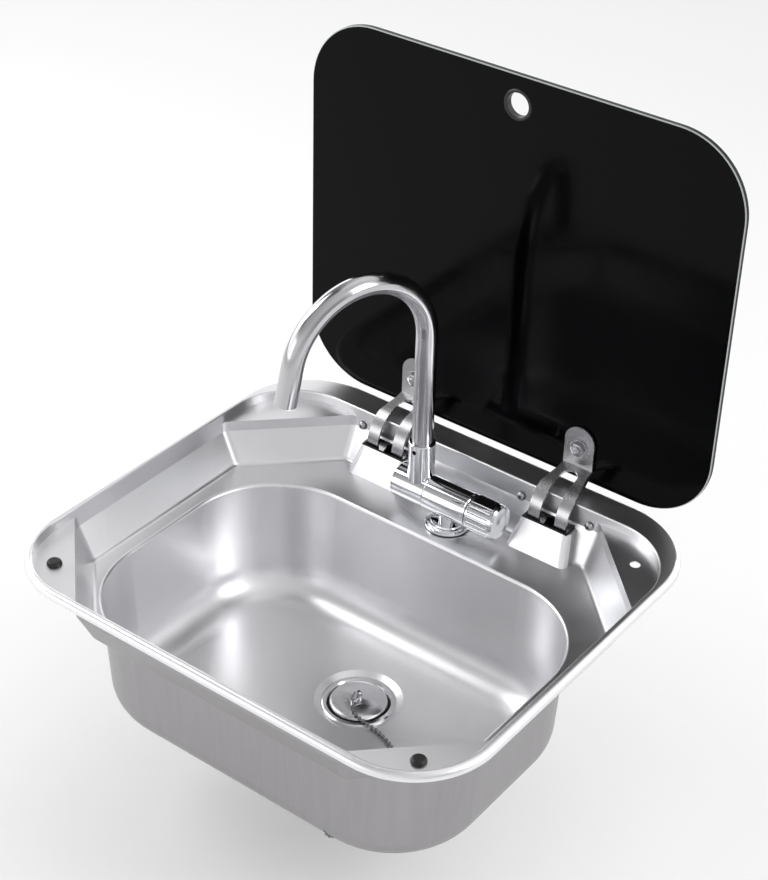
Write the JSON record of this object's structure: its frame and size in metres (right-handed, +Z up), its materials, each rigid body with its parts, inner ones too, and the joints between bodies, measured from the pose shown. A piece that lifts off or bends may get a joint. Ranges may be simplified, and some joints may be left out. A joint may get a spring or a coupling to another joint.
{
  "type": "rv sink with glass lid",
  "caption": "Inset stainless camper sink with a hinged black glass lid, a folding swan-neck tap and a plug on a ball chain.",
  "frame": {"origin": "middle of the rim, in the plane of the worktop that the rim's edge rests on", "axes": "+Z up out of the worktop, +X to the user's right, +Y to the back, where the lid is hinged"},
  "size_m": [0.42, 0.3834, 0.5725],
  "materials": {
    "stainless": "satin",
    "chrome": "polished",
    "black_glass": "polished",
    "rubber": "matte",
    "plastic": "satin",
    "knob": "polished",
    "brass": "satin"
  },
  "bodies": {
    "sink_body": {"sink": "stainless", "button_left": "rubber", "button_right": "rubber", "hinge_carrier_left": "stainless", "hinge_pin_left": "stainless", "carrier_screw_left_inner": "stainless", "carrier_screw_left_outer": "stainless", "slot_trim_left": "rubber", "hinge_box_left": "plastic", "hinge_carrier_right": "stainless", "hinge_pin_right": "stainless", "carrier_screw_right_inner": "stainless", "carrier_screw_right_outer": "stainless", "slot_trim_right": "rubber", "hinge_box_right": "plastic", "waste_flange": "stainless", "waste_gasket": "rubber", "waste_nut": "plastic", "waste_tail": "plastic", "ball_chain": "chrome", "chain_anchor": "chrome", "tap_gasket": "rubber", "tap_base_ring": "chrome", "tap_body": "chrome", "sleeve_cap": "chrome", "tap_ring": "chrome", "tap_washer": "stainless", "tap_nut": "brass", "inlet_tail": "brass"},
    "lid": {"lid_glass": "black_glass", "lid_grommet": "rubber", "hinge_arm_left": "stainless", "glass_pad_front_left": "rubber", "glass_pad_back_left": "rubber", "glass_bolt_left": "stainless", "glass_nut_left": "stainless", "hinge_arm_right": "stainless", "glass_pad_front_right": "rubber", "glass_pad_back_right": "rubber", "glass_bolt_right": "stainless", "glass_nut_right": "stainless"},
    "tap_sleeve": {"fold_sleeve": "chrome", "grub_screw": "chrome"},
    "spout": {"spout_tube": "chrome", "spout_outlet": "plastic"},
    "knob": {"tap_knob": "knob", "tap_spindle": "brass"},
    "plug": {"plug_cap": "chrome", "plug_seal": "rubber", "plug_eye": "chrome"},
    "link": {"plug_link": "chrome", "chain_clasp": "chrome"}
  },
  "joints": [
    {"name": "lid_hinge", "type": "hinge", "parent": "sink_body", "child": "lid", "pos_m": [0, 0.1733, -0.0138], "axis": [1, 0, 0], "range_deg": [0, 90]},
    {"name": "spout_fold", "type": "hinge", "parent": "sink_body", "child": "tap_sleeve", "pos_m": [-0.0273, 0.1225, -0.015], "axis": [1, 0, 0], "range_deg": [0, 90]},
    {"name": "spout_swivel", "type": "hinge", "parent": "tap_sleeve", "child": "spout", "pos_m": [-0.0273, 0.1225, 0], "axis": [0, 0, -1], "range_deg": [0, 72.5]},
    {"name": "tap_turn", "type": "hinge", "parent": "sink_body", "child": "knob", "pos_m": [0.04, 0.1225, -0.015], "axis": [1, 0, 0], "range_deg": [0, 90]},
    {"name": "plug_lift", "type": "slide", "parent": "sink_body", "child": "plug", "axis": [0, 0, 1], "range_m": [0, 0.06], "deforming": ["ball_chain"]},
    {"name": "link_swing", "type": "hinge", "parent": "plug", "child": "link", "pos_m": [0.0055, 0.0015, -0.13859], "axis": [-1, 0, 0], "range_deg": [0, 100], "deforming": ["ball_chain"]}
  ],
  "couplings": [
    {"joint": "spout_fold", "follows": "lid_hinge", "ratio": 1},
    {"joint": "spout_swivel", "follows": "lid_hinge", "ratio": 0.80556}
  ]
}
